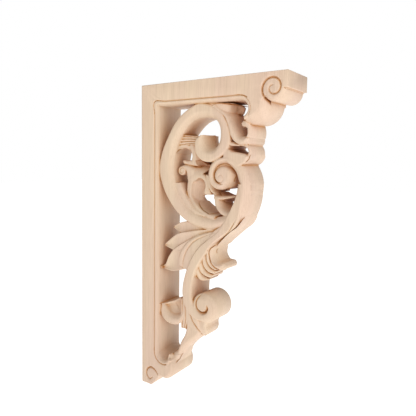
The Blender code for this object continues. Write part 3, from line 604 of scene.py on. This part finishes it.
def lower_carving():
    """Curl beside the lower volute, tail, and the leaves beside them."""
    # Rim of the curl
    ribbon([
        (20.4, -213.0, 23.6, -212.6, 5.2),
        (20.2, -220.4, 29.0, -218.4, 4.4),
        (23.4, -226.6, 33.6, -221.0, 4.0),
        (30.4, -230.4, 38.6, -221.0, 4.0),
        (39.0, -230.6, 42.6, -219.0, 4.4),
        (46.4, -226.4, 45.4, -214.6, 5.0),
        (50.6, -216.0, 46.0, -208.0, 5.6),
        (51.0, -204.0, 46.0, -201.0, 5.6),
        (50.6, -196.0, 47.6, -194.0, 5.6),
    ], outer=(2.4, 1.4), inner=((0, 2.4, 2.2), (1, 3.4, 3.0), (4, 5.4, 5.6), (6, 4.0, 3.4),
                                (8, 3.0, 2.0)), blend=0.2)
    # Scooped floor of the curl
    ribbon([
        (22.4, -213.2, 27.0, -220.4, 6.0),
        (29.0, -210.4, 34.0, -224.0, 6.6),
        (36.0, -207.6, 41.6, -223.6, 7.6),
        (43.0, -203.4, 48.0, -217.0, 8.8),
    ], outer=(1.6, 0.8), inner=(0.4, 0.2), blend=0.2, hollow=4.6)
    # Ribbed leaf between the curl and the tail
    ribbon([
        (52.0, -204.0, 45.4, -203.0, 5.4),
        (53.0, -214.0, 45.8, -213.0, 5.4),
        (52.6, -224.0, 45.6, -224.0, 5.8),
        (50.4, -232.6, 45.0, -232.8, 6.6),
    ], outer=(0.8, 0.6), inner=(0.8, 0.6), ribs=(2, 1.0))
    # Tail
    ribbon([
        (50.5, -208.0, 68.0, -212.0, 5.0),
        (51.0, -219.0, 69.0, -224.0, 5.6),
        (51.0, -231.0, 68.0, -235.0, 6.6),
        (48.0, -240.4, 59.6, -243.4, 7.6),
        (43.4, -248.0, 51.8, -250.6, 8.2),
        (41.0, -254.0, 47.4, -256.0, 8.2),
        (38.8, -260.0, 44.2, -262.0, 7.8),
        (35.6, -265.0, 41.2, -268.0, 7.6),
        (33.0, -270.0, 38.0, -273.0, 7.6),
    ], outer=(2.4, 2.0), inner=(4.6, 4.0), blend=1.0)
    # Side leaf and the line between it and the tail
    ribbon([
        (56.4, -213.0, 78.6, -211.0, 4.8),
        (59.6, -222.0, 76.0, -219.0, 5.2),
        (63.6, -227.6, 73.6, -225.4, 6.0),
        (66.4, -231.4, 74.8, -230.2, 6.6),
        (68.4, -234.2, 73.2, -234.2, 7.6),
        (69.4, -236.0, 70.4, -236.6, 9.0),
    ], outer=(0.8, 0.6), inner=((0, 0.8, 0.4), (1, 1.4, 0.8), (3, 3.4, 3.0)), hollow=1.4)
    cut([(57.0, -216.0, 0.6), (60.1, -223.1, 1.0), (64.1, -228.0, 1.2), (69.0, -234.4, 0.8)],
        2.4, 1.5)


def inner_carving():
    """Hooks and leaves inside the left half of the ring."""
    # Ribbed web between the ring and the hook
    ribbon([
        (33.0, -46.4, 32.0, -59.4, 8.0),
        (44.0, -47.2, 43.0, -57.4, 8.4),
        (54.0, -48.0, 54.0, -56.2, 8.4),
        (66.0, -49.0, 66.0, -57.2, 7.0),
    ], outer=(0.8, 0.6), inner=(0.8, 0.6), ribs=(4, 1.0))
    # High curl
    ribbon([
        (31.4, -67.0, 36.0, -67.2, 9.4),
        (34.6, -62.0, 38.0, -63.6, 9.2),
        (37.2, -58.2, 40.4, -61.0, 9.0),
        (41.4, -55.8, 43.2, -59.6, 9.0),
        (46.8, -55.4, 46.8, -59.6, 9.2),
        (52.6, -57.0, 50.4, -61.4, 9.4),
    ], outer=(1.6, 1.0), inner=(2.4, 2.0), blend=0.6)
    # Arm below the high curl, and its tip
    ribbon([
        (49.4, -58.0, 60.0, -52.4, 9.2),
        (52.6, -61.8, 63.6, -57.4, 9.2),
        (54.2, -66.8, 65.6, -65.0, 9.4),
        (53.4, -71.2, 69.6, -71.0, 9.4),
        (56.0, -75.4, 75.0, -76.0, 9.6),
    ], outer=(1.6, 1.0), inner=(1.6, 1.0), blend=1.0,
        well=((0, 4.0, 5.0, 2.0), (2, 3.6, 6.0, 4.5), (3, 2.6, 7.0, 7.5), (4, 1.6, 6.0, 8.0)))
    ribbon([
        (58.0, -70.6, 60.0, -75.6, 9.8),
        (51.6, -70.9, 51.4, -75.4, 9.8),
        (47.0, -71.2, 46.6, -74.8, 10.0),
        (43.8, -70.6, 43.2, -73.8, 10.2),
        (41.8, -71.2, 42.0, -72.6, 10.8),
    ], outer=(1.2, 0.8), inner=(1.8, 1.6), blend=0.8)
    # Low curl and its eye
    ribbon([
        (38.4, -79.8, 42.2, -80.6, 9.6),
        (40.0, -77.0, 43.2, -79.6, 9.4),
        (43.8, -75.3, 45.6, -79.0, 9.2),
        (49.4, -75.0, 47.6, -80.6, 9.0),
        (57.0, -75.4, 48.6, -84.8, 9.0),
        (66.0, -75.8, 49.8, -89.6, 9.0),
        (75.0, -76.4, 58.0, -90.0, 9.0),
    ], outer=((0, 1.2, 1.0), (3, 2.0, 2.0), (4, 7.0, 6.0), (6, 9.0, 8.0)), inner=(1.6, 1.0),
        blend=0.8)
    block(arc((42.2, -80.4), 4.4, 0, 350, 24), 9.2, (1.8, 1.4), 0.6)
    cut([(46.4, -78.6, 0.3), (43.0, -77.6, 0.8), (40.4, -79.2, 1.0), (40.6, -81.8, 1.0),
         (43.0, -82.6, 0.9), (44.2, -80.6, 0.6)], 1.5, 1.0)
    # Floor, rim and scoop of the low hook
    block([(53.0, -104.0), (53.0, -92.0), (57.0, -86.0), (66.0, -86.0), (71.5, -91.0),
           (71.5, -97.0), (69.6, -101.0), (63.0, -103.0)], 17.2, (0.4, 0.2), 0.4)
    ribbon([
        (83.6, -123.6, 84.4, -119.6, 3.6),
        (75.6, -122.4, 76.6, -118.8, 4.6),
        (65.4, -119.6, 68.0, -115.6, 6.0),
        (55.6, -113.8, 59.2, -109.4, 7.6),
        (51.2, -107.4, 55.6, -105.0, 8.4),
        (49.0, -100.6, 54.1, -101.0, 8.6),
        (48.8, -94.6, 54.4, -95.8, 8.8),
        (49.7, -89.8, 55.6, -91.3, 8.8),
        (52.4, -85.6, 58.4, -88.0, 8.8),
        (57.4, -83.0, 62.2, -86.6, 8.8),
        (63.4, -82.4, 66.8, -87.4, 8.6),
        (68.8, -83.6, 69.5, -90.3, 8.5),
        (72.4, -87.4, 70.3, -94.1, 8.5),
        (73.6, -92.0, 69.6, -96.8, 8.5),
        (75.0, -97.0, 69.0, -99.4, 8.6),
        (76.4, -101.4, 69.6, -101.6, 9.0),
    ], outer=(2.0, 1.2), inner=(0.8, 0.4), blend=0.8)
    ribbon([
        (75.6, -121.6, 77.2, -118.4, 5.0),
        (64.4, -117.8, 68.6, -114.8, 6.8),
        (56.4, -110.6, 62.8, -109.0, 8.4),
        (53.6, -101.8, 62.0, -103.6, 9.2),
        (53.6, -96.0, 63.0, -98.6, 9.4),
        (54.8, -91.0, 65.4, -94.6, 9.6),
        (57.8, -87.2, 67.4, -91.6, 10.4),
        (62.0, -85.6, 68.4, -89.0, 12.0),
    ], outer=(0.4, 0.2), inner=((0, 2.0, 1.0), (1, 4.4, 6.0), (2, 7.0, 9.0), (3, 9.0, 9.0),
                                (5, 11.0, 7.6), (7, 7.0, 6.0)), hollow=2.6, blend=0.2)
    # Leaf along the ring
    ribbon([
        (35.6, -92.0, 43.0, -91.6, 5.8),
        (41.2, -102.0, 48.0, -101.0, 5.6),
        (50.0, -111.8, 53.2, -107.4, 5.2),
        (60.0, -118.6, 61.0, -114.8, 4.8),
        (73.6, -121.8, 75.2, -118.8, 4.4),
    ], outer=(0.8, 0.6), inner=(2.2, 1.6))
    # Neck, cup and lip beside the low hook
    ribbon([
        (70.0, -83.0, 82.0, -86.0, 8.2),
        (72.0, -89.0, 82.2, -92.0, 8.2),
        (73.6, -94.0, 82.8, -96.0, 8.0),
        (76.0, -97.8, 85.0, -99.1, 7.6),
        (79.4, -100.8, 88.6, -101.2, 7.2),
        (81.0, -104.0, 92.0, -103.0, 7.0),
    ], outer=(2.0, 1.4), inner=((0, 6.0, 6.0), (2, 7.0, 10.0), (5, 8.0, 11.0)), blend=1.0)
    ribbon([
        (81.0, -103.0, 91.0, -103.0, 6.8),
        (81.8, -106.0, 91.4, -105.6, 6.2),
        (83.0, -110.6, 92.0, -108.6, 5.8),
        (86.6, -115.4, 94.0, -110.8, 5.4),
        (92.6, -119.0, 97.4, -112.4, 5.0),
        (99.6, -119.4, 100.4, -112.0, 4.6),
        (106.0, -114.6, 103.4, -110.4, 4.2),
    ], outer=(2.0, 1.0), inner=((0, 8.0, 12.0), (2, 8.0, 12.0), (3, 7.0, 11.0), (4, 6.0, 8.0),
                                (5, 4.0, 4.0), (6, 2.4, 1.6)), blend=0.8)
    ribbon([
        (80.8, -104.8, 81.4, -101.4, 6.8),
        (86.5, -105.0, 87.0, -101.8, 6.6),
        (92.8, -104.2, 93.0, -101.4, 6.6),
        (98.0, -103.0, 98.0, -101.0, 6.8),
        (102.6, -101.8, 102.4, -100.8, 7.4),
    ], outer=(1.0, 0.8), inner=(2.0, 1.8), blend=0.4)


def volute_lines():
    """Spiral grooves of the end block and of the foot."""
    eye_x, eye_z = 139.6, -12.6
    spiral = []
    for share in np.linspace(0, 1, 60):
        radius = 10.9 - 9.0 * share
        angle = math.radians(-104 - 520 * share)
        factor = 1.5 - 0.9 * share
        spiral.append((eye_x + radius * math.cos(angle), eye_z + radius * math.sin(angle),
                       factor))
    cut(spiral, 2.8, 1.7)
    cut([
        (20.8, -285.2, 0.7), (17.4, -281.8, 1.2), (11.4, -280.2, 1.2), (6.6, -284.0, 1.2),
        (6.2, -289.6, 1.1), (10.4, -292.8, 0.9), (14.0, -290.0, 0.5),
    ], 2.6, 1.6)


def relief_mesh(name):
    """Closed body from the grid: carved face, its mirror image, and the walls between."""
    np.minimum(level, HALF, out=level)
    np.minimum(rim, HALF, out=rim)
    closest = 0.06
    wood = inside > 1e-4
    near_index = np.full(wood.shape, -1)
    count = int(wood.sum())
    near_index[wood] = np.arange(count)
    flat_x = [GRID_X[wood]]
    flat_z = [GRID_Z[wood]]
    heights = [level[wood]]

    def crossings(first, second, start):
        """New points where an edge of the grid crosses the outline."""
        differs = wood[first] != wood[second]
        distance_a = inside[first][differs]
        distance_b = inside[second][differs]
        share = np.clip(distance_a / (distance_a - distance_b), 0.0, 1.0)
        share = np.where(wood[first][differs], np.maximum(share, closest),
                         np.minimum(share, 1 - closest))
        index = np.full(differs.shape, -1)
        index[differs] = start + np.arange(int(differs.sum()))
        flat_x.append(GRID_X[first][differs] * (1 - share) + GRID_X[second][differs] * share)
        flat_z.append(GRID_Z[first][differs] * (1 - share) + GRID_Z[second][differs] * share)
        heights.append(rim[first][differs] * (1 - share) + rim[second][differs] * share)
        return index, start + int(differs.sum())

    every = slice(None)
    across, count = crossings((every, slice(None, -1)), (every, slice(1, None)), count)
    down, count = crossings((slice(None, -1), every), (slice(1, None), every), count)
    corners = [near_index[:-1, :-1], near_index[:-1, 1:], near_index[1:, 1:],
               near_index[1:, :-1]]
    sides = [across[:-1, :], down[:, 1:], across[1:, :], down[:, :-1]]
    flags = [corner >= 0 for corner in corners]
    case = flags[0] * 1 + flags[1] * 2 + flags[2] * 4 + flags[3] * 8

    faces = []
    walls = []
    for number in range(1, 16):
        cells = case == number
        if not cells.any():
            continue
        tokens = []
        for corner in range(4):
            after = (corner + 1) % 4
            here = bool(number >> corner & 1)
            there = bool(number >> after & 1)
            if here:
                tokens.append(("corner", corner))
            if here != there:
                tokens.append(("side", corner))
        columns = [
            (corners if kind == "corner" else sides)[index][cells] for kind, index in tokens
        ]
        faces.append(np.stack(columns, axis=1))
        for index, (kind, _) in enumerate(tokens):
            after = (index + 1) % len(tokens)
            if kind == "side" and tokens[after][0] == "side":
                walls.append(np.stack([columns[index], columns[after]], axis=1))

    x = np.concatenate(flat_x)
    z = np.concatenate(flat_z)
    height = np.maximum(np.concatenate(heights), LEAST_HEIGHT)
    near = np.stack([x, -height, z + HEIGHT / 2], axis=1)
    far = np.stack([x, height, z + HEIGHT / 2], axis=1)
    points = np.concatenate([near, far]) * MM
    polygons = []
    for group in faces:
        polygons.extend(group[:, ::-1].tolist())
        polygons.extend((group + count).tolist())
    for group in walls:
        first, second = group[:, 0], group[:, 1]
        quads = np.stack([first, second, second + count, first + count], axis=1)
        polygons.extend(quads.tolist())

    mesh = bpy.data.meshes.new(name)
    mesh.from_pydata(points.tolist(), [], polygons)
    mesh.validate()
    mesh.update()
    piece = bpy.data.objects.new(name, mesh)
    bpy.context.scene.collection.objects.link(piece)
    return piece


def reduce_mesh(piece, triangles):
    """Simplify the flat parts of a mesh until it has about so many triangles."""
    have = sum(len(polygon.vertices) - 2 for polygon in piece.data.polygons)
    if have <= triangles:
        return
    modifier = piece.modifiers.new("Reduce", "DECIMATE")
    modifier.ratio = triangles / have
    evaluated = piece.evaluated_get(bpy.context.evaluated_depsgraph_get())
    result = bpy.data.meshes.new_from_object(evaluated)
    for vertex in result.vertices:
        vertex.co.y = min(max(vertex.co.y, -HALF * MM), HALF * MM)
    piece.modifiers.clear()
    old = piece.data
    piece.data = result
    bpy.data.meshes.remove(old)


def wood_material():
    """Raw sanded light hardwood with its grain along the height, with shade painted into its
    recesses and creases.
    """
    material = bpy.data.materials.new("raw_hardwood")
    material.use_nodes = True
    nodes = material.node_tree.nodes
    links = material.node_tree.links
    shader = nodes["Principled BSDF"]
    shader.inputs["Specular IOR Level"].default_value = 0.3
    place = nodes.new("ShaderNodeTexCoord")

    def noise(stretch, scale, detail, roughness=0.5):
        """Noise field in object space, stretched along the axes."""
        mapping = nodes.new("ShaderNodeMapping")
        mapping.inputs["Scale"].default_value = stretch
        links.new(place.outputs["Object"], mapping.inputs["Vector"])
        field = nodes.new("ShaderNodeTexNoise")
        field.inputs["Scale"].default_value = scale
        field.inputs["Detail"].default_value = detail
        field.inputs["Roughness"].default_value = roughness
        links.new(mapping.outputs["Vector"], field.inputs["Vector"])
        return field.outputs["Fac"]

    def ramp(source, *stops):
        """Colours along a field."""
        node = nodes.new("ShaderNodeValToRGB")
        points = node.color_ramp.elements
        while len(points) < len(stops):
            points.new(0.5)
        for point, (position, color) in zip(points, stops):
            point.position = position
            point.color = (*color, 1)
        links.new(source, node.inputs["Fac"])
        return node.outputs["Color"]

    def times(first, second):
        """Product of two colours."""
        node = nodes.new("ShaderNodeMix")
        node.data_type = "RGBA"
        node.blend_type = "MULTIPLY"
        node.inputs[0].default_value = 1.0
        links.new(first, node.inputs[6])
        links.new(second, node.inputs[7])
        return node.outputs[2]

    def hidden(distance, samples):
        """How open the surface is to its surroundings within a distance."""
        node = nodes.new("ShaderNodeAmbientOcclusion")
        node.samples = samples
        node.inputs["Distance"].default_value = distance
        return node.outputs["AO"]

    tone = ramp(noise((1.0, 1.0, 0.10), 42.0, 3.0),
                (0.34, (0.700, 0.512, 0.392)), (0.66, (0.722, 0.556, 0.402)))
    bands = ramp(noise((1.0, 0.6, 0.03), 190.0, 4.0),
                 (0.30, (0.935, 0.925, 0.905)), (0.62, (1.0, 1.0, 1.0)))
    fibre_field = noise((1.0, 1.0, 0.035), 1500.0, 3.0, 0.6)
    fibres = ramp(fibre_field, (0.30, (0.90, 0.885, 0.86)), (0.55, (1.0, 1.0, 1.0)))
    # Painted shade: the colour darkens towards brown where the surface is hidden within 20 mm,
    # in recesses and hollows
    painted_recess_shade = ramp(hidden(0.020, 12), (0.08, (0.74, 0.46, 0.31)), (0.45, (0.93, 0.80, 0.70)),
                  (0.85, (1.0, 1.0, 1.0)))
    # Painted shade: the colour darkens towards orange-brown in narrow creases, where the
    # surface is hidden within 2.6 mm
    painted_crease_shade = ramp(hidden(0.0026, 8), (0.20, (0.82, 0.58, 0.25)), (0.50, (0.93, 0.78, 0.49)),
                  (0.80, (1.0, 1.0, 1.0)))
    color = times(times(times(times(tone, bands), fibres), painted_recess_shade), painted_crease_shade)
    links.new(color, shader.inputs["Base Color"])
    gloss = nodes.new("ShaderNodeMapRange")
    gloss.inputs["To Min"].default_value = 0.46
    gloss.inputs["To Max"].default_value = 0.62
    links.new(fibre_field, gloss.inputs["Value"])
    links.new(gloss.outputs["Result"], shader.inputs["Roughness"])
    bump = nodes.new("ShaderNodeBump")
    bump.inputs["Strength"].default_value = 0.12
    bump.inputs["Distance"].default_value = 0.0002
    links.new(fibre_field, bump.inputs["Height"])
    links.new(bump.outputs["Normal"], shader.inputs["Normal"])
    return material


def studio():
    """Pale floor, white backdrop and soft light."""
    bpy.ops.mesh.primitive_plane_add(size=12, location=(0, 0, -0.32))
    floor = bpy.context.object
    floor.name = "floor"
    paper = bpy.data.materials.new("paper")
    paper.use_nodes = True
    shader = paper.node_tree.nodes["Principled BSDF"]
    shader.inputs["Base Color"].default_value = (0.9, 0.9, 0.9, 1)
    shader.inputs["Roughness"].default_value = 0.9
    shader.inputs["Emission Color"].default_value = (1.0, 1.0, 1.0, 1)
    shader.inputs["Emission Strength"].default_value = 0.9
    floor.data.materials.append(paper)
    world = bpy.data.worlds.new("studio")
    bpy.context.scene.world = world
    world.use_nodes = True
    nodes = world.node_tree.nodes
    links = world.node_tree.links
    light = nodes["Background"]
    light.inputs["Color"].default_value = (1.0, 0.99, 0.98, 1)
    light.inputs["Strength"].default_value = 0.34
    backdrop = nodes.new("ShaderNodeBackground")
    backdrop.inputs["Color"].default_value = (1.0, 1.0, 1.0, 1)
    backdrop.inputs["Strength"].default_value = 1.0
    ray = nodes.new("ShaderNodeLightPath")
    either = nodes.new("ShaderNodeMixShader")
    links.new(ray.outputs["Is Camera Ray"], either.inputs[0])
    links.new(light.outputs["Background"], either.inputs[1])
    links.new(backdrop.outputs["Background"], either.inputs[2])
    links.new(either.outputs["Shader"], nodes["World Output"].inputs["Surface"])
    for name, place, size, power in (
        ("key", (0.30, -0.9, 0.60), 0.6, 2.6),
        ("side", (0.9, -0.35, 0.35), 0.6, 3.0),
    ):
        data = bpy.data.lights.new(name, "AREA")
        data.size = size
        data.energy = power
        lamp = bpy.data.objects.new(name, data)
        lamp.location = place
        aim = Vector((0.06, 0, 0)) - Vector(place)
        lamp.rotation_euler = aim.to_track_quat("-Z", "Y").to_euler()
        bpy.context.scene.collection.objects.link(lamp)


def camera():
    """Camera at the photograph's viewing angle."""
    yaw, pitch, roll = 0.6034, -0.1094, 0.0150
    sensor = 36
    picture_width = 416
    focal_length = 436.602
    forward = Vector((-math.sin(yaw), math.cos(yaw), 0))
    right = Vector((math.cos(yaw), math.sin(yaw), 0))
    up = Vector((0, 0, 1))
    view = forward * math.cos(pitch) + up * math.sin(pitch)
    view_up = up * math.cos(pitch) - forward * math.sin(pitch)
    turned_right = right * math.cos(roll) + view_up * math.sin(roll)
    turned_up = view_up * math.cos(roll) - right * math.sin(roll)
    data = bpy.data.cameras.new("camera")
    data.sensor_width = sensor
    data.lens = sensor * focal_length / picture_width
    data.clip_start = 0.01
    eye = bpy.data.objects.new("camera", data)
    matrix = Matrix((turned_right, turned_up, -view)).transposed().to_4x4()
    matrix.translation = Vector((0.29796, -0.33586, 0.07914))
    eye.matrix_world = matrix
    bpy.context.scene.collection.objects.link(eye)
    bpy.context.scene.camera = eye


frame_bands()
end_lobes()
scroll()
hooks()
stem()
leaf()
lower_carving()
inner_carving()
volute_lines()
carving = relief_mesh("carved_bracket")
reduce_mesh(carving, TRIANGLES)
carving.data.materials.append(wood_material())
carving.data.shade_smooth()
carving.data.set_sharp_from_angle(angle=math.radians(50))
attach(carving, "root")
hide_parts("corbel_bracket")
studio()
camera()
bpy.context.scene.view_settings.view_transform = "Standard"
